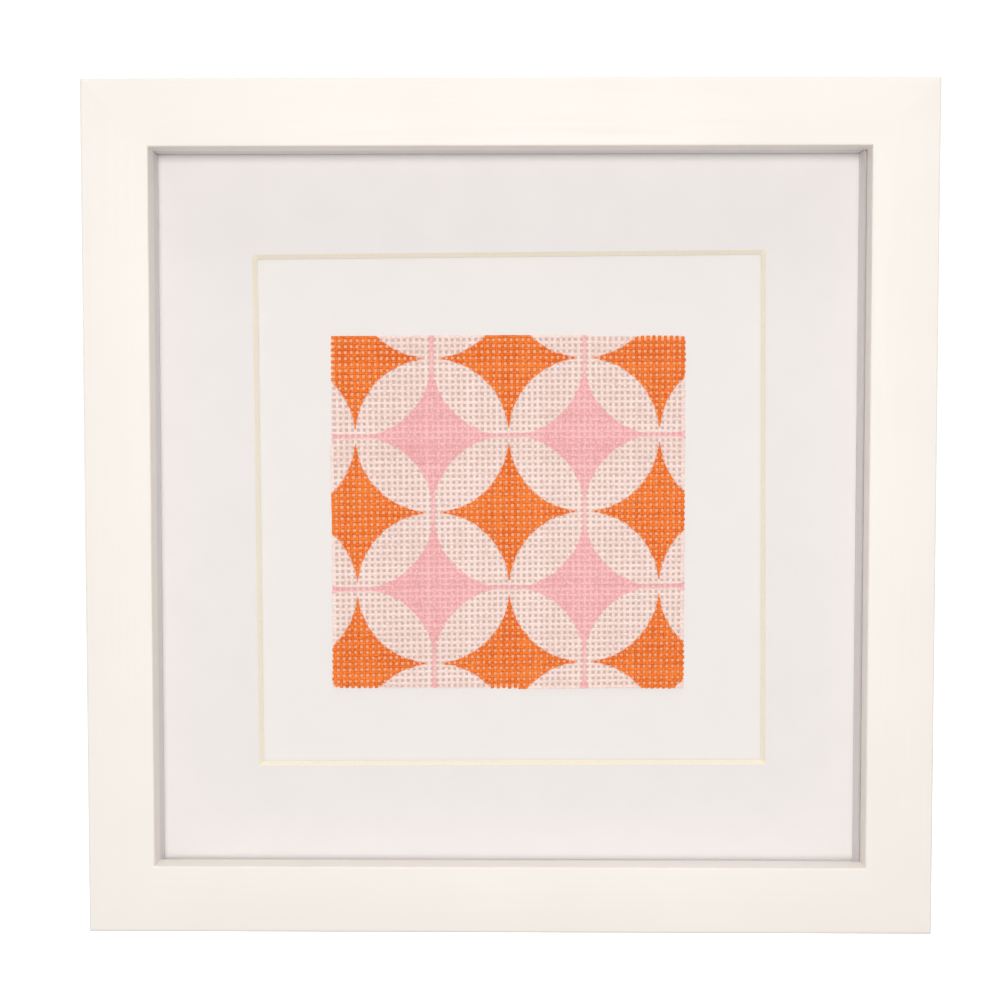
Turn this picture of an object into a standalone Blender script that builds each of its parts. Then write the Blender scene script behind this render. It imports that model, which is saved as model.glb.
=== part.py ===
"""A square of needlepoint canvas in a window mat and a white box picture frame.

The frame stands upright on its bottom rail. The origin is under the middle of it, the front
faces -Y, X runs along the bottom rail and Z is up. All sizes are in metres.
"""

import math

import bpy
from mathutils import Matrix

# Driving sizes of the frame. Depths are counted back from the front face of the rails.
FRAME_WIDTH = 0.275
FRAME_HEIGHT = 0.2764
FRAME_DEPTH = 0.032
RAIL_FACE = 0.0217
LIP_DEPTH = 0.0084
RABBET_WIDTH = 0.006
EDGE_ROUND = 0.0009
EDGE_STEPS = 3

# Boards, from front to back.
RECESS = 0.0179
MAT_THICKNESS = 0.0014
MOUNT_THICKNESS = 0.0014
BACK_THICKNESS = 0.0025

# The mat's window, at the mat's face. It was cut a little below and to the right of the middle,
# a little askew, turned anticlockwise as seen from the front, and taller on its right than on its
# left by the flare.
WINDOW_WIDTH = 0.1704
WINDOW_HEIGHT = 0.1716
WINDOW_FLARE = 0.0006
WINDOW_BEVEL = 0.0014
WINDOW_RIGHT = 0.0003
WINDOW_DROP = 0.0010
WINDOW_TURN = math.radians(0.39)

# The canvas: 13 threads to the inch, cut between threads.
THREAD_PITCH = 0.0254 / 13
CANVAS_CELLS = 60.5
CANVAS_SIDE = CANVAS_CELLS * THREAD_PITCH
CANVAS_THICKNESS = 0.0012
CANVAS_LEFT = 0.0005
CANVAS_DROP = 0.0018

# How far each spacer strip stands behind the lip's edge; a negative one stands out past it. The
# slot between the lip's back and the strips shows as a thin dark line.
SPACER_SETBACK = {"left": 0.0008, "right": -0.0005, "top": 0.0006, "bottom": 0.0023}
SPACER_SLOT = 0.0008

GAP = 0.0003
OVERCUT = 0.01

OPENING_WIDTH = FRAME_WIDTH - 2 * RAIL_FACE
OPENING_HEIGHT = FRAME_HEIGHT - 2 * RAIL_FACE
BOARD_WIDTH = OPENING_WIDTH + 2 * (RABBET_WIDTH - GAP)
BOARD_HEIGHT = OPENING_HEIGHT + 2 * (RABBET_WIDTH - GAP)
FRONT_Y = -FRAME_DEPTH / 2
MIDDLE_Z = FRAME_HEIGHT / 2


def collection(name):
    found = bpy.data.collections.new(name)
    bpy.context.scene.collection.children.link(found)
    return found


def material(name, colour, roughness):
    made = bpy.data.materials.new(name)
    made.use_nodes = True
    shader = made.node_tree.nodes["Principled BSDF"]
    shader.inputs["Base Color"].default_value = (*colour, 1)
    shader.inputs["Roughness"].default_value = roughness
    shader.inputs["Metallic"].default_value = 0
    made.diffuse_color = (*colour, 1)
    return made


def block(name, size, centre, into, look=None):
    """A box of the given size, made from Blender's cube, with its scale applied."""
    bpy.ops.mesh.primitive_cube_add(size=1, location=(0, 0, 0))
    made = bpy.context.object
    made.name = name
    made.data.name = name
    made.scale = size
    bpy.ops.object.transform_apply(location=False, rotation=False, scale=True)
    made.location = centre
    for holder in list(made.users_collection):
        holder.objects.unlink(made)
    into.objects.link(made)
    if look:
        made.data.materials.append(look)
    return made


def as_cutter(made):
    made.hide_render = True
    made.display_type = "WIRE"
    return made


def cut(target, cutter):
    boolean = target.modifiers.new(f"cut {cutter.name}", "BOOLEAN")
    boolean.operation = "DIFFERENCE"
    boolean.solver = "EXACT"
    boolean.object = cutter


def depth_to_y(depth):
    return FRONT_Y + depth


def mitre_cutter(rail, length, side):
    """A big block whose face is the mitre plane at one end of a rail, turned 45 degrees."""
    reach = 4 * RAIL_FACE
    cutter = block(f"{rail.name}_mitre_{side}", (reach, 2 * FRAME_DEPTH, 3 * reach), (0, 0, 0), CUTTERS)
    sign = 1 if side == "right" else -1
    cutter.rotation_euler = (0, -sign * math.radians(45), 0)
    inward = GAP / 2
    off = (reach / 2 - inward) / math.sqrt(2)
    cutter.location = (sign * (length / 2 + off), 0, off)
    cutter.parent = rail
    return as_cutter(cutter)


def rail(name, length, place, turn):
    """One mitred rail. Its own Z runs from its outer face to the lip, its X along the rail."""
    made = block(name, (length + 2 * OVERCUT, FRAME_DEPTH, RAIL_FACE), (0, 0, 0), PARTS, PAINTED_WOOD)
    made.data.transform(Matrix.Translation((0, 0, RAIL_FACE / 2)))
    soften = made.modifiers.new("soft edges", "BEVEL")
    soften.width = EDGE_ROUND
    soften.segments = EDGE_STEPS
    soften.limit_method = "ANGLE"

    rabbet_depth = FRAME_DEPTH - LIP_DEPTH + OVERCUT
    rabbet_height = RABBET_WIDTH + OVERCUT
    rabbet = block(
        f"{name}_rabbet",
        (length + 4 * OVERCUT, rabbet_depth, rabbet_height),
        (0, depth_to_y(LIP_DEPTH) + rabbet_depth / 2, RAIL_FACE - RABBET_WIDTH + rabbet_height / 2),
        CUTTERS,
    )
    rabbet.parent = made
    cut(made, as_cutter(rabbet))
    for side in ("left", "right"):
        cut(made, mitre_cutter(made, length, side))

    made.location = place
    made.rotation_euler = (0, turn, 0)
    return made


def plate(name, width, height, depth, thickness, look, centre=(0, 0)):
    """An upright board whose front face lies at the given depth behind the rails' face."""
    middle = (centre[0], depth_to_y(depth + thickness / 2), MIDDLE_Z + centre[1])
    return block(name, (width, thickness, height), middle, PARTS, look)


def window_cutter():
    """The plug that falls out of the window: a block that narrows towards the back, as the bevel does."""
    ahead = MAT_THICKNESS
    behind = 2 * MAT_THICKNESS
    middle = RECESS + (behind - ahead) / 2
    plug = block(
        "window_plug",
        (WINDOW_WIDTH, ahead + behind, WINDOW_HEIGHT),
        (WINDOW_RIGHT, depth_to_y(middle), MIDDLE_Z - WINDOW_DROP),
        CUTTERS,
    )
    slope = WINDOW_BEVEL / MAT_THICKNESS
    for corner in plug.data.vertices:
        corner.co.z += math.copysign(WINDOW_FLARE / 4, corner.co.x * corner.co.z)
        narrowing = slope * (behind if corner.co.y > 0 else -ahead)
        for axis in (0, 2):
            corner.co[axis] -= narrowing * math.copysign(1, corner.co[axis])
    plug.rotation_euler = (0, -WINDOW_TURN, 0)
    return as_cutter(plug)


def spacer(side):
    """A strip that fills the rabbet between the lip and the mat on one side."""
    depth = LIP_DEPTH + SPACER_SLOT
    thickness = RECESS - GAP - depth
    inner = SPACER_SETBACK[side]
    across = RABBET_WIDTH - GAP - inner
    if side in ("left", "right"):
        sign = -1 if side == "left" else 1
        top = OPENING_HEIGHT / 2 + SPACER_SETBACK["top"] - GAP
        bottom = -OPENING_HEIGHT / 2 - SPACER_SETBACK["bottom"] + GAP
        height = top - bottom
        centre = (sign * (OPENING_WIDTH / 2 + inner + across / 2), (top + bottom) / 2)
        return plate(f"spacer_{side}", across, height, depth, thickness, SPACER_BOARD, centre)
    sign = 1 if side == "top" else -1
    centre = (0, sign * (OPENING_HEIGHT / 2 + inner + across / 2))
    return plate(f"spacer_{side}", BOARD_WIDTH, across, depth, thickness, SPACER_BOARD, centre)


for old in list(bpy.data.objects):
    bpy.data.objects.remove(old)

PARTS = collection("needlepoint_canvas_panel")
CUTTERS = collection("cutters")

PAINTED_WOOD = material("painted_wood", (0.90, 0.87, 0.82), 0.45)
SPACER_BOARD = material("spacer_board", (0.80, 0.78, 0.76), 0.7)
MAT_BOARD = material("mat_board", (0.86, 0.83, 0.81), 0.9)
MOUNT_BOARD = material("mount_board", (0.88, 0.85, 0.83), 0.9)
CANVAS_CLOTH = material("canvas_cloth", (0.90, 0.42, 0.30), 0.85)
BACK_BOARD = material("back_board", (0.42, 0.30, 0.19), 0.8)

rail("rail_bottom", FRAME_WIDTH, (0, 0, 0), 0)
rail("rail_top", FRAME_WIDTH, (0, 0, FRAME_HEIGHT), math.radians(180))
rail("rail_left", FRAME_HEIGHT, (-FRAME_WIDTH / 2, 0, MIDDLE_Z), math.radians(90))
rail("rail_right", FRAME_HEIGHT, (FRAME_WIDTH / 2, 0, MIDDLE_Z), math.radians(-90))

for strip in ("top", "bottom", "left", "right"):
    spacer(strip)

mat = plate("mat", BOARD_WIDTH, BOARD_HEIGHT, RECESS, MAT_THICKNESS, MAT_BOARD)
cut(mat, window_cutter())

mount_depth = RECESS + MAT_THICKNESS + GAP
plate("mount_board", BOARD_WIDTH, BOARD_HEIGHT, mount_depth, MOUNT_THICKNESS, MOUNT_BOARD)

canvas_depth = mount_depth - GAP - CANVAS_THICKNESS
plate(
    "canvas",
    CANVAS_SIDE,
    CANVAS_SIDE,
    canvas_depth,
    CANVAS_THICKNESS,
    CANVAS_CLOTH,
    (-CANVAS_LEFT, -CANVAS_DROP),
)

back_depth = mount_depth + MOUNT_THICKNESS + GAP
plate("back_board", BOARD_WIDTH, BOARD_HEIGHT, back_depth, BACK_THICKNESS, BACK_BOARD)
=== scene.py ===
# %% [markdown]
# # A needlepoint canvas in a mat and a white box frame
#
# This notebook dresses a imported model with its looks. The model's solids already stand at their
# real size, in metres, with +Z up and the front facing -Y. Every cell below adds one piece or one
# finish. Each text cell says what the real thing is, how it could be made, and why this way was
# chosen.

import math

import bmesh
import bpy
import numpy as np
from mathutils import Matrix, Vector


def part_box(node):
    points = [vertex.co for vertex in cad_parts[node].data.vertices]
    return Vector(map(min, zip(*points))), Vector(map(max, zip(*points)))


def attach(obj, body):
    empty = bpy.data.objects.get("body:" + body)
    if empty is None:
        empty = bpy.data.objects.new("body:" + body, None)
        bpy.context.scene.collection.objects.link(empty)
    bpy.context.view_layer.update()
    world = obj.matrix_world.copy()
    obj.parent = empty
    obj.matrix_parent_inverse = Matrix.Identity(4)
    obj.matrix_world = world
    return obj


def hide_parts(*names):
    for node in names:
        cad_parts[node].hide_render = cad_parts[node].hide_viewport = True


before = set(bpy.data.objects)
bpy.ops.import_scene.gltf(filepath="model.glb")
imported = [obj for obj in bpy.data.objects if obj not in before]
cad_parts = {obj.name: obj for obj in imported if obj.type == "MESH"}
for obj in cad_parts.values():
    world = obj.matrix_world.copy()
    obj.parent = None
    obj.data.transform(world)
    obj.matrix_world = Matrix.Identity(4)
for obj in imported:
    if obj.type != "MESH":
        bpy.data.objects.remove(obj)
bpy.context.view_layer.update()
print("solids:", sorted(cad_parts))

# %% [markdown]
# ## Sizes
# A dressed piece has to stand where its solid stands. Typing the places again would work, but they
# would drift apart with the next change, so they are read from the boxes of the solids. Only the
# sizes that no solid has, such as the roundness of an edge, are named here.

# %% Sizes read from the solids
rail_low, rail_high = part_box("rail_bottom")
top_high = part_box("rail_top")[1]
left_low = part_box("rail_left")[0]
right_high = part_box("rail_right")[1]

FRAME_WIDTH = right_high.x - left_low.x
FRAME_HEIGHT = top_high.z - rail_low.z
FRAME_DEPTH = rail_high.y - rail_low.y
RAIL_FACE = rail_high.z - rail_low.z
FRONT_Y = rail_low.y
MIDDLE_Z = (top_high.z + rail_low.z) / 2

mat_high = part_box("mat")[1]
mount_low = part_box("mount_board")[0]
canvas_low, canvas_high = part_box("canvas")
spacer_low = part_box("spacer_left")[0]
RABBET_WIDTH = mat_high.x - (right_high.x - RAIL_FACE)

MM = 0.001
SPACER_SLOT = 0.8 * MM
LIP_DEPTH = spacer_low.y - FRONT_Y - SPACER_SLOT
print(f"frame {FRAME_WIDTH / MM:.1f} x {FRAME_HEIGHT / MM:.1f} x {FRAME_DEPTH / MM:.1f} mm")
print(f"rail face {RAIL_FACE / MM:.1f} mm, lip {LIP_DEPTH / MM:.1f} mm deep")

# %% [markdown]
# ## Shader maths as expressions
# A procedural material is arithmetic on positions. Placing every Math node by hand hides the
# formula, so a small class wraps a socket and turns `+`, `-`, `*` and `/` into Math nodes. Any other
# node comes from one method that takes the node's type, its settings, and what goes into its
# sockets. A formula then reads the same for numbers, for numpy arrays and for shader sockets.

# %% A socket that does arithmetic
class Term:
    """An output socket of a material's node. Arithmetic on it adds Math nodes to that material."""

    def __init__(self, finish, socket):
        self.finish = finish
        self.socket = socket

    def math(self, operation, *values):
        return self.finish.node("ShaderNodeMath", {"operation": operation}, dict(enumerate(values)))

    def __add__(self, other):
        return self.math("ADD", self, other)

    def __radd__(self, other):
        return self.math("ADD", other, self)

    def __sub__(self, other):
        return self.math("SUBTRACT", self, other)

    def __rsub__(self, other):
        return self.math("SUBTRACT", other, self)

    def __mul__(self, other):
        return self.math("MULTIPLY", self, other)

    def __rmul__(self, other):
        return self.math("MULTIPLY", other, self)

    def __truediv__(self, other):
        return self.math("DIVIDE", self, other)

    def __abs__(self):
        return self.math("ABSOLUTE", self)


class Finish:
    """A material with one Principled shader, and the one method that adds nodes to it."""

    def __init__(self, name):
        self.material = bpy.data.materials.new(name)
        self.material.use_nodes = True
        self.tree = self.material.node_tree
        self.shader = self.tree.nodes["Principled BSDF"]

    def node(self, kind, settings=None, sockets=None, out=0):
        """Adds a node: first its settings, then what goes into its sockets. Gives one output back."""
        made = self.tree.nodes.new(kind)
        for name, value in (settings or {}).items():
            setattr(made, name, value)
        for key, value in (sockets or {}).items():
            self.feed(made.inputs[key], value)
        return Term(self, made.outputs[out])

    def feed(self, socket, value):
        """Links a Term to a socket, or sets the socket to a number, a vector or a colour."""
        if isinstance(value, Term):
            self.tree.links.new(value.socket, socket)
        elif socket.type == "RGBA" and len(value) == 3:
            socket.default_value = (*value, 1)
        else:
            socket.default_value = value

    def paint(self, **values):
        """Sets or links the shader's own sockets, named with underscores, such as Base_Color."""
        for name, value in values.items():
            self.feed(self.shader.inputs[name.replace("_", " ")], value)
        return self


print("shader kit ready")

# %% [markdown]
# The next cell names the few nodes that every finish below uses: the place on the object, noise at
# a real size, a soft step, and a mix of two colours. Colours go through a Mix node, because a Math
# node would turn them grey.

# %% Helpers for every finish
def place(finish):
    """x, y and z on the object, in metres."""
    point = finish.node("ShaderNodeTexCoord", out="Object")
    return [finish.node("ShaderNodeSeparateXYZ", None, {0: point}, out=axis) for axis in range(3)]


def noise(finish, size, stretch=(1, 1, 1), detail=2.0, rough=0.5, shift=0.0):
    """Noise from 0 to 1 whose blots are about `size` metres across, stretched along the axes.

    `shift` moves it, so that two noises of one finish don't have their blots in the same places.
    """
    point = finish.node("ShaderNodeTexCoord", out="Object")
    grid = finish.node(
        "ShaderNodeMapping",
        {"vector_type": "POINT"},
        {"Vector": point, "Location": (shift, shift, shift), "Scale": [1 / (size * s) for s in stretch]},
    )
    wanted = {"Vector": grid, "Scale": 1.0, "Detail": detail, "Roughness": rough}
    return finish.node("ShaderNodeTexNoise", {"noise_dimensions": "3D"}, wanted)


def soft_step(value, start, end, low=0.0, high=1.0):
    """Goes smoothly from `low` to `high` as the value goes from `start` to `end`."""
    numbers = {"Value": value, "From Min": start, "From Max": end, "To Min": low, "To Max": high}
    return value.finish.node("ShaderNodeMapRange", {"interpolation_type": "SMOOTHSTEP"}, numbers)


def blend_colours(factor, first, second):
    """The first colour where the factor is 0, the second where it is 1."""
    sockets = {0: factor, 6: first, 7: second}
    return factor.finish.node("ShaderNodeMix", {"data_type": "RGBA"}, sockets, out=2)


def bump(finish, height, depth):
    """Turns a height from 0 to 1 into a normal; `depth` is the real height in metres."""
    sockets = {"Height": height, "Strength": 1.0, "Distance": depth}
    return finish.node("ShaderNodeBump", None, sockets)


def facing_front(finish):
    """1 where a surface looks straight out of the front, 0 where it looks sideways."""
    normal = finish.node("ShaderNodeTexCoord", out="Normal")
    along_y = finish.node("ShaderNodeSeparateXYZ", None, {0: normal}, out=1)
    return -1.0 * along_y


print("helpers ready")

# %% [markdown]
# ## The camera
# The photograph was taken from a little above the middle of the frame and a hair to the right of
# it: the upright rails draw together towards the bottom, and the walls of the recess show by
# different amounts. How far away it was is less sure. Any distance from 0.4 to 0.6 metres fits the
# edges about equally well, so half a metre is a choice, and the depth of the recess goes with it. A
# camera could be moved by eye until it looks right. Here it is placed by that distance and two
# small angles, and aimed at the point that the photograph has in its centre.

# %% Camera
CAMERA_DISTANCE = 0.5
CAMERA_RIGHT = 0.0108
CAMERA_ABOVE = 0.0445
AIM_X = -0.00297
AIM_ABOVE_MIDDLE = 0.00333
FOCAL_LENGTH = 55.83

aim = Vector((AIM_X, FRONT_Y, MIDDLE_Z + AIM_ABOVE_MIDDLE))
towards = Vector((
    math.sin(CAMERA_RIGHT) * math.cos(CAMERA_ABOVE),
    -math.cos(CAMERA_RIGHT) * math.cos(CAMERA_ABOVE),
    math.sin(CAMERA_ABOVE),
))
lens = bpy.data.cameras.new("camera")
lens.lens = FOCAL_LENGTH
lens.sensor_width = 36
lens.clip_start = 0.01
camera = bpy.data.objects.new("camera", lens)
bpy.context.scene.collection.objects.link(camera)
camera.location = aim + CAMERA_DISTANCE * towards
camera.rotation_euler = (-towards).to_track_quat("-Z", "Y").to_euler()
bpy.context.scene.camera = camera
print("camera at", tuple(round(c, 4) for c in camera.location))

# %% [markdown]
# ## Floor and light
# The photograph shows the frame on plain white. A flat floor and a wall would show a line where
# they meet, so one sheet curves up from floor to backdrop, the way a photographer hangs paper, and
# it goes all the way round, so that it is there from every side. It glows by itself and throws no
# light on the object, so it stays white wherever the lamps are. The mat is evenly lit right up to
# the top wall of the recess, which no lamp above the frame would do. So most of the light comes
# level from the front, from a far lamp and a near one, which also makes the top rail lighter than
# the bottom one. A third lamp hangs nearly overhead: it misses the mat and lights the bottom wall
# of the recess, which is its lightest. Two more stand behind the frame, left and right. They can't
# reach the front, and keep the frame's sides and back from going grey. The world adds an even fill.
# The front lamps' strengths were solved from renders of one lamp at a time, for the mix nearest the
# photograph. Light and paint can't be told apart there: darker paint and stronger lamps look alike.

# %% Floor that curves up into a backdrop
FLOOR_REACH = 2.6
BEND_RADIUS = 0.6
BACKDROP_TOP = 3.0
BEND_STEPS = 16
TURN_STEPS = 64
ROLL_PAPER = (0.93, 0.93, 0.93)
ROLL_PAPER_DEEP = (0.90, 0.90, 0.90)
ROLL_GLOW = 0.65


def sweep_line():
    """Points (out, z) from the middle of the floor, round the bend and up the backdrop."""
    points = [(0.0, 0.0)]
    for step in range(BEND_STEPS + 1):
        turn = math.pi / 2 * step / BEND_STEPS
        out = FLOOR_REACH - BEND_RADIUS * (1 - math.sin(turn))
        points.append((out, BEND_RADIUS * (1 - math.cos(turn))))
    points.append((FLOOR_REACH, BACKDROP_TOP))
    return points


def sweep_sheet():
    """The line above turned once round the upright axis."""
    built = bmesh.new()
    line = [built.verts.new((out, 0.0, z)) for out, z in sweep_line()]
    edges = [built.edges.new(pair) for pair in zip(line, line[1:])]
    bmesh.ops.spin(built, geom=line + edges, axis=(0, 0, 1), angle=2 * math.pi, steps=TURN_STEPS)
    bmesh.ops.remove_doubles(built, verts=built.verts, dist=0.1 * MM)
    bmesh.ops.recalc_face_normals(built, faces=built.faces)
    bmesh.ops.reverse_faces(built, faces=built.faces)
    mesh = bpy.data.meshes.new("floor_and_backdrop")
    built.to_mesh(mesh)
    built.free()
    mesh.shade_smooth()
    sheet = bpy.data.objects.new("floor_and_backdrop", mesh)
    bpy.context.scene.collection.objects.link(sheet)
    return sheet


floor = sweep_sheet()
floor.visible_diffuse = False
floor.visible_glossy = False

paper_roll = Finish("backdrop_paper")
mottle = noise(paper_roll, 0.4, detail=1.0)
paper_roll.paint(
    Base_Color=blend_colours(mottle, ROLL_PAPER_DEEP, ROLL_PAPER),
    Roughness=0.9,
    Emission_Color=(1.0, 1.0, 1.0),
    Emission_Strength=ROLL_GLOW,
)
floor.data.materials.append(paper_roll.material)
print("floor reaches", FLOOR_REACH, "m each way")

# %% Light
LAMPS = {
    "front_lamp": {"place": (0.0, -1.9, 0.25), "size": 0.4, "power": 9.6},
    "near_lamp": {"place": (0.0, -0.9, 0.29), "size": 0.2, "power": 2.5},
    "high_lamp": {"place": (0.0, -0.3, 1.7), "size": 1.0, "power": 6.2},
    "left_lamp": {"place": (-1.4, 0.9, 0.3), "size": 0.5, "power": 9.0},
    "right_lamp": {"place": (1.4, 0.9, 0.3), "size": 0.5, "power": 9.0},
}
LAMP_COLOUR = (1.0, 0.985, 0.968)
FILL_STRENGTH = 0.43
FILL_COLOUR = (0.990, 1.000, 1.005)


def add_lamp(name, place, size, power):
    light = bpy.data.lights.new(name, "AREA")
    light.shape = "SQUARE"
    light.size = size
    light.energy = power
    light.color = LAMP_COLOUR
    lamp = bpy.data.objects.new(name, light)
    bpy.context.scene.collection.objects.link(lamp)
    lamp.location = place
    lamp.rotation_euler = (Vector((0, 0, MIDDLE_Z)) - lamp.location).to_track_quat("-Z", "Y").to_euler()


for name, facts in LAMPS.items():
    add_lamp(name, **facts)

world = bpy.data.worlds.new("even_fill")
world.use_nodes = True
world.node_tree.nodes["Background"].inputs["Color"].default_value = (*FILL_COLOUR, 1)
world.node_tree.nodes["Background"].inputs["Strength"].default_value = FILL_STRENGTH
bpy.context.scene.world = world
bpy.context.scene.view_settings.view_transform = "Standard"
print(len(LAMPS), "lamps, fill", FILL_STRENGTH)

# %% [markdown]
# ## The rails
# Each rail is a length of moulding with a step, the rabbet, cut into its back, mitred at both ends
# and painted. A bevelled block with the mitres cut off by Booleans would do, but its paint would
# have hard, even edges. Here the section is drawn once as an outline with round corners and swept
# along the rail. Each point of the section runs as far as the mitre lets it, so the ends come out
# at 45 degrees with no cutting.

# %% Section of the moulding
FRONT_ROUND = 0.9 * MM
LIP_ROUND = 0.6 * MM
BACK_ROUND = 0.4 * MM
ROUND_STEPS = 6


def round_corner(centre, radius, start, end):
    """Points of an arc, with angles in degrees in the section's own plane."""
    shares = [step / ROUND_STEPS for step in range(ROUND_STEPS + 1)]
    angles = [math.radians(start + (end - start) * share) for share in shares]
    return [(centre[0] + radius * math.cos(a), centre[1] + radius * math.sin(a)) for a in angles]


def moulding_section():
    """Points (across, depth): across runs from the outer edge to the lip, depth from front to back."""
    wall = RAIL_FACE - RABBET_WIDTH
    lip = LIP_DEPTH
    back = FRAME_DEPTH
    points = round_corner((FRONT_ROUND, FRONT_ROUND), FRONT_ROUND, 180, 270)
    points += round_corner((RAIL_FACE - LIP_ROUND, LIP_ROUND), LIP_ROUND, 270, 360)
    points += round_corner((RAIL_FACE - BACK_ROUND, lip - BACK_ROUND), BACK_ROUND, 0, 90)
    points += [(wall, lip)]
    points += round_corner((wall - BACK_ROUND, back - BACK_ROUND), BACK_ROUND, 0, 90)
    points += round_corner((BACK_ROUND, back - BACK_ROUND), BACK_ROUND, 90, 180)
    return points


section = moulding_section()
print(len(section), "points in the section")

# %% Sweep the section along four rails
RAIL_STATIONS = 40
WAVE = 0.04 * MM
WAVE_BENDS = 21
RAIL_SHARP = 40


def rail_mesh(name, length, seed):
    """A rail along X whose outer edge is at z = 0 and whose lip is at z = RAIL_FACE.

    Its face swells by a hair here and there, as planed and painted wood does, and `seed` says where.
    """
    built = bmesh.new()
    rings = []
    for station in range(RAIL_STATIONS + 1):
        share = 2 * station / RAIL_STATIONS - 1
        ring = []
        for across, depth in section:
            x = share * (length / 2 - across)
            swell = WAVE * (1 - share ** 4) * math.sin(WAVE_BENDS * x / length + seed)
            swell *= math.sin(math.pi * across / RAIL_FACE) ** 2 * (depth < LIP_ROUND)
            ring.append(built.verts.new((x, FRONT_Y + depth + swell, across)))
        rings.append(ring)
    for first, second in zip(rings, rings[1:]):
        for i in range(len(section)):
            j = (i + 1) % len(section)
            built.faces.new((first[i], first[j], second[j], second[i]))
    built.faces.new(rings[0][::-1])
    built.faces.new(rings[-1])
    bmesh.ops.recalc_face_normals(built, faces=built.faces)
    mesh = bpy.data.meshes.new(name)
    built.to_mesh(mesh)
    built.free()
    return mesh


def add_rail(side, length, turn, shift):
    mesh = rail_mesh(f"painted_rail_{side}", length, seed=turn)
    mesh.transform(Matrix.Translation(shift) @ Matrix.Rotation(math.radians(turn), 4, "Y"))
    mesh.shade_smooth()
    mesh.set_sharp_from_angle(angle=math.radians(RAIL_SHARP))
    piece = bpy.data.objects.new(f"painted_rail_{side}", mesh)
    bpy.context.scene.collection.objects.link(piece)
    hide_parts(f"rail_{side}")
    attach(piece, "root")
    return piece


rails = {
    "bottom": add_rail("bottom", FRAME_WIDTH, 0, (0, 0, 0)),
    "top": add_rail("top", FRAME_WIDTH, 180, (0, 0, FRAME_HEIGHT)),
    "left": add_rail("left", FRAME_HEIGHT, 90, (-FRAME_WIDTH / 2, 0, MIDDLE_Z)),
    "right": add_rail("right", FRAME_HEIGHT, -90, (FRAME_WIDTH / 2, 0, MIDDLE_Z)),
}
print({side: len(piece.data.polygons) for side, piece in rails.items()}, "faces a rail")

# %% [markdown]
# ## White paint
# The frame is sprayed or brushed with warm white satin paint. Close up it is not one colour: it is
# thinner and a touch darker in long streaks that follow the rail, and it has a faint orange peel.
# A picture of paint could be wrapped round the rails, but noise stretched along each rail gives the
# same streaks at any size.

# %% White paint on the rails
PAINT = (0.920, 0.874, 0.821)
PAINT_THIN = (0.904, 0.856, 0.799)
STREAK_LENGTH = 40


def white_paint(name, stretch):
    finish = Finish(name)
    streaks = noise(finish, 1.2 * MM, stretch, detail=4.0, rough=0.6)
    clouds = noise(finish, 45 * MM, detail=2.0, shift=3.0)
    peel = noise(finish, 0.7 * MM, detail=2.0)
    thin = soft_step(streaks * 0.3 + clouds * 0.7, 0.35, 0.65)
    relief = streaks * 0.7 + peel * 0.3
    finish.paint(
        Base_Color=blend_colours(thin, PAINT, PAINT_THIN),
        Roughness=soft_step(streaks, 0.3, 0.7, 0.42, 0.55),
        Normal=bump(finish, relief, 0.03 * MM),
        Specular_IOR_Level=0.22,
    )
    return finish.material


level_paint = white_paint("white_paint_level", (STREAK_LENGTH, 1, 1))
upright_paint = white_paint("white_paint_upright", (1, 1, STREAK_LENGTH))
for side, piece in rails.items():
    piece.data.materials.append(level_paint if side in ("top", "bottom") else upright_paint)
print("painted", len(rails), "rails")

# %% [markdown]
# ## Spacers
# A box frame keeps its boards away from the lip with four strips that sit in the rabbet. Only the
# two upright ones show, as a darker second step beside the mat, with a thin dark line where the
# slot behind the lip begins. Their solids have the right shape, so they stay, with a dull paper
# skin of their own. Their front ends are painted darker than the skin: this is painted shade,
# standing in for the shade in the slot behind the lip.

# %% Paper skin of the spacers
def give(node, finish):
    """Puts a finish on a solid that is shown as it is."""
    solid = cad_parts[node]
    solid.data.materials.clear()
    solid.data.materials.append(finish.material)


SPACER_LIGHT = (0.842, 0.808, 0.808)
SPACER_DARK = (0.780, 0.748, 0.748)
# Painted shade: the colour of the strips' front ends, dark for the shade in the slot behind the lip.
SPACER_FRONT_SHADE = (0.550, 0.510, 0.505)

spacer_skin = Finish("spacer_paper")
fibres = noise(spacer_skin, 0.5 * MM, (1, 1, 6), detail=4.0)
spacer_side = blend_colours(fibres, SPACER_LIGHT, SPACER_DARK)
# Painted shade: where a strip faces the front, it takes the dark colour above.
spacer_front_shade = soft_step(facing_front(spacer_skin), 0.6, 0.9)
spacer_skin.paint(
    Base_Color=blend_colours(spacer_front_shade, spacer_side, SPACER_FRONT_SHADE),
    Roughness=0.8,
    Normal=bump(spacer_skin, fibres, 0.03 * MM),
)
for side in ("top", "bottom", "left", "right"):
    give(f"spacer_{side}", spacer_skin)
print("spacers skinned")

# %% [markdown]
# ## Mat and mount board
# A mat is paper board with a cream core. The knife leans over at 45 degrees, so the core shows as a
# thin cream line round the window. The line could be a strip laid on top, but then it would float.
# The solid already has the slope, so the finish only asks which way a surface faces: what looks
# straight forward is paper, and what slopes is core.

# %% Paper finish with a cream core
MAT_PAPER = (0.846, 0.813, 0.796)
MAT_PAPER_DEEP = (0.829, 0.796, 0.780)
CORE = (0.93, 0.86, 0.72)
CORE_DEEP = (0.84, 0.76, 0.61)


def paper(finish, light, deep):
    """Colour and relief of uncoated paper: a fine tooth, and soft clouds where the pulp varies."""
    tooth = noise(finish, 0.28 * MM, detail=4.0, rough=0.65)
    clouds = noise(finish, 14 * MM, detail=3.0, shift=5.0)
    colour = blend_colours(soft_step(clouds * 0.6 + tooth * 0.4, 0.3, 0.7), light, deep)
    return colour, tooth


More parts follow.
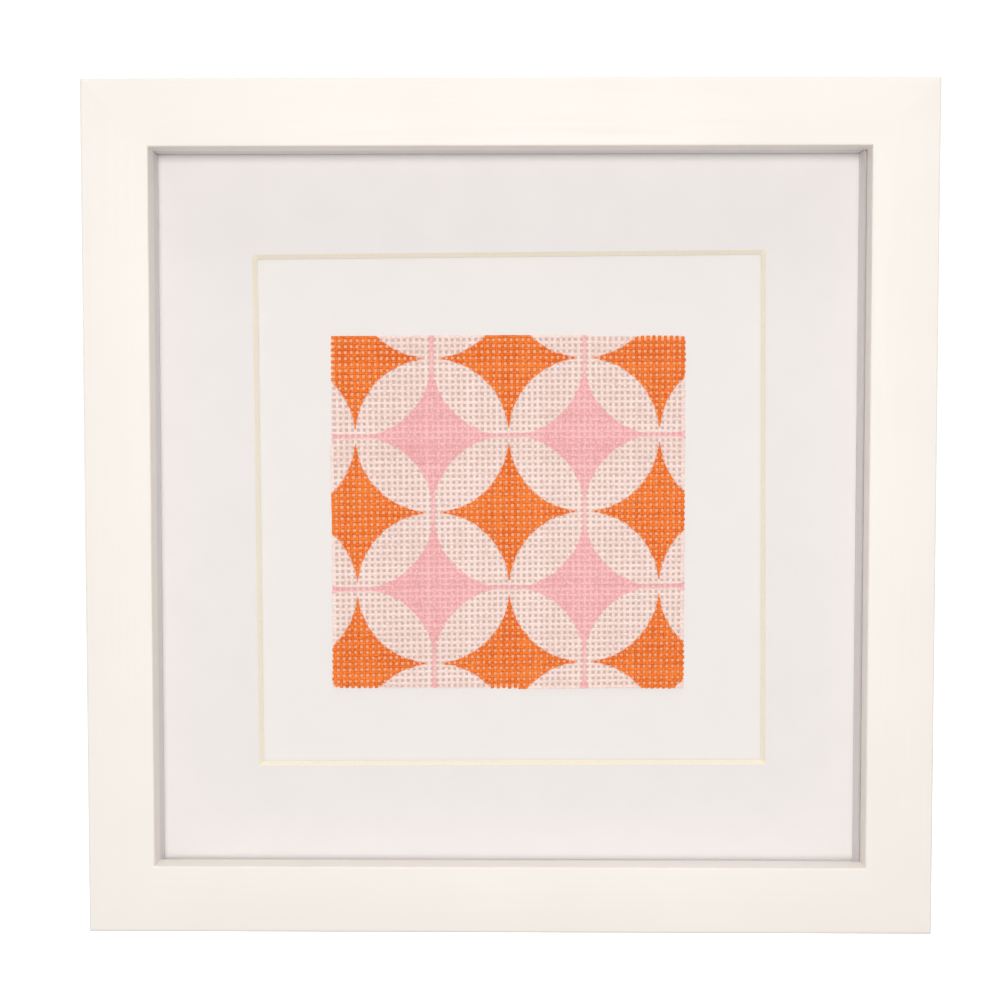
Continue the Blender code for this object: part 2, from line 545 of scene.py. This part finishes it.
mat_board = Finish("mat_board")
mat_colour, mat_tooth = paper(mat_board, MAT_PAPER, MAT_PAPER_DEEP)
core_fibres = noise(mat_board, 0.35 * MM, detail=5.0, rough=0.7)
core_colour = blend_colours(soft_step(core_fibres, 0.35, 0.7), CORE, CORE_DEEP)
on_face = soft_step(facing_front(mat_board), 0.90, 0.97)
mat_board.paint(
    Base_Color=blend_colours(on_face, core_colour, mat_colour),
    Roughness=0.92,
    Normal=bump(mat_board, mat_tooth, 0.025 * MM),
    Specular_IOR_Level=0.25,
)
give("mat", mat_board)
print("mat window bevel takes the core colour")

# %% [markdown]
# ## How the canvas is woven
# Needlepoint canvas is a plain weave of stiff cotton threads, about as far apart as they are thick,
# so it is half holes. The usual 13 threads to the inch are taken here, and set the scale of the
# whole part. The weave isn't quite even: the threads wander by up to half a pitch over the panel,
# and the print wanders with them. An image or a bump map would give flat threads with painted
# holes. Here every thread is a real tube that passes over and under the others, and one formula,
# `wander`, bends both the threads and, later, the print.

# %% Where the threads lie
COLUMNS = 60.7
ROWS = 59.9
CANVAS_LEFT = canvas_low.x
CANVAS_TOP = canvas_high.z - 0.03 * MM
CANVAS_WIDTH = canvas_high.x - canvas_low.x
CANVAS_HEIGHT = canvas_high.z - canvas_low.z
ACROSS = CANVAS_WIDTH / COLUMNS
DOWN = CANVAS_HEIGHT / ROWS
MEAN_RIGHT = 0.95
MEAN_BELOW = 0.6


def wander(u, v):
    """How far, in threads, the weave lies to the right of and below an even grid.

    u and v run from -1 to 1 across and down the panel. The twelve numbers were fitted to where
    the threads lie in the photograph.
    """
    right = 1.102 + 0.014 * u + 0.155 * v - 0.335 * (u * u) - 0.189 * (u * v) - 0.087 * (v * v)
    below = 0.694 - 0.279 * u - 0.172 * v + 0.055 * (u * u) - 0.165 * (u * v) - 0.210 * (v * v)
    return right, below


def woven_place(column, row):
    """x and z of a place counted in threads, where whole numbers are the middles of holes."""
    u = 2 * (column + MEAN_RIGHT) / COLUMNS - 1
    v = 2 * (row + MEAN_BELOW) / ROWS - 1
    right, below = wander(u, v)
    return CANVAS_LEFT + ACROSS * (column + right), CANVAS_TOP - DOWN * (row + below)


print(f"threads {ACROSS / MM:.3f} mm apart across and {DOWN / MM:.3f} mm apart down")

# %% [markdown]
# A thread's path goes through one point at each crossing, where it is at its highest or lowest, and
# one at each hole, where it passes through the middle. Its section is a flattened hexagon, smooth
# shaded, because sizing and rollers press the real threads flat. A rounder section would take
# twice the mesh and not show. The ends are cut off straight at the panel's edge, give or take a
# fraction of a millimetre, and a thread that wanders out of the panel is cut off there.

# %% Weave the threads
THREAD_WIDTH = 1.03 * MM
THREAD_HEIGHT = 0.38 * MM
CRIMP = 0.15 * MM
CUT_SLACK = 0.12 * MM
CUT_TRIES = 6
EDGE_MARGIN = 0.25 * MM
FEWEST_STEPS = 8
NEAREST_STEP = 0.1
SIDEWAYS = 0.035 * MM
SIDEWAYS_KNOTS = 30
SLUB = 0.04
SLUB_KNOTS = 40
WIDTH_SPREAD = 0.025
THREAD_NUMBERS = range(-2, 62)
WEAVE_SHARP = 75
SECTION = ((-0.5, 0.0), (-0.27, 0.5), (0.27, 0.5), (0.5, 0.0), (0.27, -0.5), (-0.27, -0.5))
CANVAS_BACK = mount_low.y - 0.05 * MM
WEAVE_Y = CANVAS_BACK - CRIMP - THREAD_HEIGHT / 2

random = np.random.default_rng(13)


def smooth_random(count, knots, amount):
    """A gently changing random line: `knots` values joined smoothly over `count` points."""
    values = random.normal(0, amount, knots)
    return np.interp(np.linspace(0, knots - 1, count), np.arange(knots), values)


def steps_between(first, last):
    """Half-thread steps strictly between two cuts, with the cuts themselves at the ends."""
    inside = np.arange(math.ceil(first * 2) / 2, last, 0.5)
    inside = inside[(inside > first + NEAREST_STEP) & (inside < last - NEAREST_STEP)]
    return np.concatenate([[first], inside, [last]])


def cut_places(index, upright):
    """Where, in threads, the panel's two edges cut a thread, found by stepping towards each edge."""
    found = []
    for edge, guess in ((0, -0.5), (1, ROWS if upright else COLUMNS)):
        here = guess
        for _ in range(CUT_TRIES):
            x, z = woven_place(*((index, here) if upright else (here, index)))
            if upright:
                here += (z - (CANVAS_TOP - edge * CANVAS_HEIGHT)) / DOWN
            else:
                here -= (x - (CANVAS_LEFT + edge * CANVAS_WIDTH)) / ACROSS
        found.append(here + random.normal(0, CUT_SLACK / DOWN / 2))
    return found


def thread(number, upright):
    """Rings of points (ring, point, xyz) of one thread, or None where it lies outside the panel."""
    index = number + 0.5
    first, last = cut_places(index, upright)
    steps = steps_between(first, last)
    sideways = smooth_random(len(steps), SIDEWAYS_KNOTS, SIDEWAYS)
    width = THREAD_WIDTH * (1 + smooth_random(len(steps), SLUB_KNOTS, SLUB))
    width *= random.normal(1, WIDTH_SPREAD)
    over = CRIMP * np.cos(np.pi * (steps - 0.5)) * (-1) ** number
    if upright:
        x, z = woven_place(index, steps)
        x = x + sideways
        inside = (x > CANVAS_LEFT + EDGE_MARGIN) & (x < CANVAS_LEFT + CANVAS_WIDTH - EDGE_MARGIN)
    else:
        x, z = woven_place(steps, index)
        z = z + sideways
        over = -over
        inside = (z < CANVAS_TOP - EDGE_MARGIN) & (z > CANVAS_TOP - CANVAS_HEIGHT + EDGE_MARGIN)
    if inside.sum() < FEWEST_STEPS:
        return None
    ends = np.flatnonzero(inside)
    keep = slice(ends[0], ends[-1] + 1)
    points = np.zeros((len(steps[keep]), len(SECTION), 3))
    for i, (side, rise) in enumerate(SECTION):
        lateral = side * width[keep]
        points[:, i, 0] = x[keep] + (lateral if upright else 0)
        points[:, i, 1] = WEAVE_Y - over[keep] - rise * THREAD_HEIGHT
        points[:, i, 2] = z[keep] + (0 if upright else lateral)
    return points


def tube(rings, start, turned):
    """Faces of a tube whose points are numbered ring by ring, and (along, around) of each corner."""
    sides = len(SECTION)
    middles = rings.mean(axis=1)
    strides = np.linalg.norm(np.diff(middles, axis=0), axis=1)
    along = np.concatenate([[0.0], np.cumsum(strides)])
    faces, yarn = [], []
    for ring in range(len(rings) - 1):
        here, there = start + ring * sides, start + (ring + 1) * sides
        for i in range(sides):
            j = (i + 1) % sides
            corners = [(here + i, ring, i), (there + i, ring + 1, i)]
            corners += [(there + j, ring + 1, i + 1), (here + j, ring, i + 1)]
            if turned:
                corners.reverse()
            faces.append([point for point, _, _ in corners])
            yarn += [(along[step], turn / sides) for _, step, turn in corners]
    for ring, flip in ((0, turned), (len(rings) - 1, not turned)):
        cap = [start + ring * sides + i for i in range(sides)]
        faces.append(cap[::-1] if flip else cap)
        yarn += [(along[ring], 0.0)] * sides
    return faces, yarn


def weave():
    """All threads as one mesh: points, faces, and how far along and around its yarn each corner is."""
    points, faces, yarn = [], [], []
    count = 0
    for upright in (True, False):
        for number in THREAD_NUMBERS:
            rings = thread(number, upright)
            if rings is None:
                continue
            more_faces, more_yarn = tube(rings, count, turned=not upright)
            faces += more_faces
            yarn += more_yarn
            count += rings.shape[0] * rings.shape[1]
            points.append(rings.reshape(-1, 3))
    return np.concatenate(points), faces, yarn


points, faces, yarn = weave()
mesh = bpy.data.meshes.new("woven_canvas")
mesh.from_pydata(points.tolist(), [], faces)
mesh.uv_layers.new(name="yarn").data.foreach_set("uv", np.array(yarn, dtype=np.float32).ravel())
mesh.shade_smooth()
mesh.set_sharp_from_angle(angle=math.radians(WEAVE_SHARP))
canvas = bpy.data.objects.new("woven_canvas", mesh)
bpy.context.scene.collection.objects.link(canvas)
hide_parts("canvas")
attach(canvas, "root")
triangles = sum(len(face) - 2 for face in faces)
print(len(points), "points,", triangles, "triangles in the weave")

# %% [markdown]
# ## The print
# The design is the old one of overlapping circles: circles a repeat wide, drawn from every corner of
# a square grid and from every middle, cross each other, and leave petals and four-pointed stars.
# Orange stars stand on the grid's corners and pink ones in its middles, and one thread is pink on
# every line through the pink stars. A picture could be laid on the cloth. The rule is so short,
# though, that three distances give the whole print, at any size, and following the threads.

# %% Print formula
REPEAT = 26.0
PRINT_COLUMN = 29.45
PRINT_ROW = 29.08
PRINT_EDGE = 0.16
CUSP_OVER = 0.04
CUSP_START = 11.5
CUSP_END = 12.0
PINK_LINE = 0.42
PINK_LINE_STRENGTH = 0.75


def near(value, repeat):
    """How far a value is from the nearest whole repeat, with its sign."""
    return value.math("WRAP", value, repeat / 2, -repeat / 2)


def distance(a, b):
    return a.math("SQRT", a * a + b * b)


def smaller(a, b):
    return a.math("MINIMUM", a, b)


def larger(a, b):
    return a.math("MAXIMUM", a, b)


def woven_count(finish):
    """The place on the cloth counted in threads: across and down."""
    x, _, z = place(finish)
    even_across = (x - CANVAS_LEFT) / ACROSS
    even_down = (CANVAS_TOP - z) / DOWN
    right, below = wander(even_across * (2 / COLUMNS) - 1, even_down * (2 / ROWS) - 1)
    return even_across - right, even_down - below


def zones(column, row, wobble=0.0):
    """How much of each place is orange, and how much is pink, each from 0 to 1."""
    across = near(column - PRINT_COLUMN, REPEAT)
    down = near(row - PRINT_ROW, REPEAT)
    to_line_across = REPEAT / 2 - abs(across)
    to_line_down = REPEAT / 2 - abs(down)
    radius = REPEAT / 2
    from_orange = distance(across, down) + wobble
    from_pink = distance(to_line_across, to_line_down) + wobble
    edge = radius - CUSP_OVER
    tips = soft_step(larger(abs(across), abs(down)), CUSP_START, CUSP_END, 1.0, 0.0)
    orange = soft_step(from_pink, edge - PRINT_EDGE, edge + PRINT_EDGE) * tips
    star = soft_step(from_orange, radius - PRINT_EDGE, radius + PRINT_EDGE)
    to_line = smaller(to_line_across, to_line_down)
    line = soft_step(
        to_line, PINK_LINE - PRINT_EDGE, PINK_LINE + PRINT_EDGE, PINK_LINE_STRENGTH, 0.0
    )
    return orange, larger(star, line)


print("repeat", REPEAT, "threads =", round(REPEAT * ACROSS / MM, 1), "mm")

# %% [markdown]
# ## Painted cotton
# The colour is on the front of the threads. Their sides, the cut ends and the back stay raw cotton,
# so the finish asks again which way a surface faces. Paint soaks into each thread a little
# differently, so every thread and every crossing has its own slight shade. The orange is painted
# darker where its threads slope away from the front. This is partly painted shade for the gaps
# between the threads, and partly paint that soaks in deeper at their edges.

# %% Painted threads
ORANGE = (0.995, 0.252, 0.040)
ORANGE_DEEP = (0.780, 0.129, 0.015)
# Painted shade, in part: the darker colour of the orange threads' sloping sides, for the gaps between
# threads.
ORANGE_RIM_SHADE = (0.580, 0.075, 0.010)
PINK = (0.985, 0.560, 0.565)
PINK_DEEP = (0.860, 0.410, 0.412)
BLUSH = (0.985, 0.800, 0.745)
BLUSH_DEEP = (0.880, 0.655, 0.590)
RAW_COTTON = (0.74, 0.60, 0.50)
PLY_STEP = 0.8 * MM
PLIES = 2.0
SLOPE_START, SLOPE_END = 0.78, 0.92
RIM_SHADE_STRENGTH = 0.85
THREAD_SHADE = 0.08


def random_shade(finish, value, stretch):
    """One random number from 0 to 1 for each whole thread."""
    counted = value.math("FLOOR", value) * stretch
    return finish.node("ShaderNodeTexWhiteNoise", {"noise_dimensions": "1D"}, {"W": counted})


cotton = Finish("painted_canvas")
column, row = woven_count(cotton)
wobble = (noise(cotton, 1.6 * MM, detail=1.0) - 0.5) * 0.5
orange, pink = zones(column, row, wobble)
soak = noise(cotton, 0.55 * MM, detail=3.0, rough=0.6, shift=1.0)
upright_shade = random_shade(cotton, column, 1.37)
level_shade = random_shade(cotton, row, 2.11)
uneven = soak * (1 - 2 * THREAD_SHADE) + upright_shade * THREAD_SHADE + level_shade * THREAD_SHADE
shade = soft_step(uneven, 0.43, 0.63)
front = facing_front(cotton)
# Painted shade, in part: the orange threads' sloping sides get the darker rim colour.
rim_shade = soft_step(front, SLOPE_START, SLOPE_END, RIM_SHADE_STRENGTH, 0.0)
painted = blend_colours(
    orange,
    blend_colours(pink, blend_colours(shade, BLUSH, BLUSH_DEEP), blend_colours(shade, PINK, PINK_DEEP)),
    blend_colours(rim_shade, blend_colours(shade, ORANGE, ORANGE_DEEP), ORANGE_RIM_SHADE),
)
coverage = soft_step(front, -0.15, 0.25)
yarn_place = cotton.node("ShaderNodeUVMap", {"uv_map": "yarn"})
along = cotton.node("ShaderNodeSeparateXYZ", None, {0: yarn_place}, out=0)
around = cotton.node("ShaderNodeSeparateXYZ", None, {0: yarn_place}, out=1)
turns = along * (1 / PLY_STEP) + around * PLIES
ply = turns.math("SINE", turns * (2 * math.pi)) * 0.5 + 0.5
fuzz = noise(cotton, 0.12 * MM, detail=3.0, rough=0.7, shift=2.0)
cotton.paint(
    Base_Color=blend_colours(coverage, RAW_COTTON, painted),
    Roughness=0.85,
    Normal=bump(cotton, fuzz * 0.5 + ply * 0.5, 0.06 * MM),
    Specular_IOR_Level=0.2,
)
canvas.data.materials.append(cotton.material)
print("print laid on the weave")

# %% [markdown]
# ## The board behind the canvas
# The canvas lies on plain white board, and the board shows through the holes. A little of the
# colour is carried through onto it by the damp paint. The rest of its tint behind the canvas is
# painted light: the shade that the threads cast into the holes and the colour they throw back are
# painted onto the board, so there it takes a part of the print and is darker than the open board.

# %% Mount board
MOUNT_PAPER = (0.872, 0.834, 0.811)
MOUNT_PAPER_DEEP = (0.856, 0.818, 0.796)
# Painted shade and painted thrown-back colour, with a little real paint stain: the board's tints behind
# each zone of the print.
STAIN_AND_HOLE_SHADE = {
    "blush": (0.740, 0.560, 0.505),
    "pink": (0.920, 0.485, 0.500),
    "orange": (1.000, 0.510, 0.310),
}
STAIN_EDGE = 0.5 * MM

mount = Finish("mount_board")
mount_colour, mount_tooth = paper(mount, MOUNT_PAPER, MOUNT_PAPER_DEEP)
board_column, board_row = woven_count(mount)
behind_orange, behind_pink = zones(board_column, board_row)
x, _, z = place(mount)
to_edge = smaller(
    smaller(x - CANVAS_LEFT, CANVAS_LEFT + CANVAS_WIDTH - x),
    smaller(CANVAS_TOP - z, z - (CANVAS_TOP - CANVAS_HEIGHT)),
)
behind = soft_step(to_edge, 0.0, STAIN_EDGE)
# Painted shade in the holes and painted thrown-back colour, behind the canvas only.
stain_and_hole_shade = blend_colours(behind_pink, STAIN_AND_HOLE_SHADE["blush"], STAIN_AND_HOLE_SHADE["pink"])
stain_and_hole_shade = blend_colours(behind_orange, stain_and_hole_shade, STAIN_AND_HOLE_SHADE["orange"])
mount.paint(
    Base_Color=blend_colours(behind, mount_colour, stain_and_hole_shade),
    Roughness=0.92,
    Normal=bump(mount, mount_tooth, 0.02 * MM),
    Specular_IOR_Level=0.25,
)
give("mount_board", mount)
print("mount board finished")

# %% [markdown]
# ## The back
# The photograph doesn't show the back, so it is closed with the plain brown hardboard that such
# frames have: pressed fibre, darker flecks and no polish.

# %% Hardboard back
HARDBOARD = (0.34, 0.22, 0.125)
HARDBOARD_DEEP = (0.20, 0.125, 0.070)

hardboard = Finish("hardboard")
flecks = noise(hardboard, 0.8 * MM, (2.5, 1, 1), detail=6.0, rough=0.75)
patches = noise(hardboard, 20 * MM, detail=3.0, shift=4.0)
dark = soft_step(flecks * 0.7 + patches * 0.3, 0.35, 0.7)
hardboard.paint(
    Base_Color=blend_colours(dark, HARDBOARD, HARDBOARD_DEEP),
    Roughness=soft_step(flecks, 0.3, 0.7, 0.6, 0.85),
    Normal=bump(hardboard, flecks, 0.06 * MM),
)
give("back_board", hardboard)
print("back closed")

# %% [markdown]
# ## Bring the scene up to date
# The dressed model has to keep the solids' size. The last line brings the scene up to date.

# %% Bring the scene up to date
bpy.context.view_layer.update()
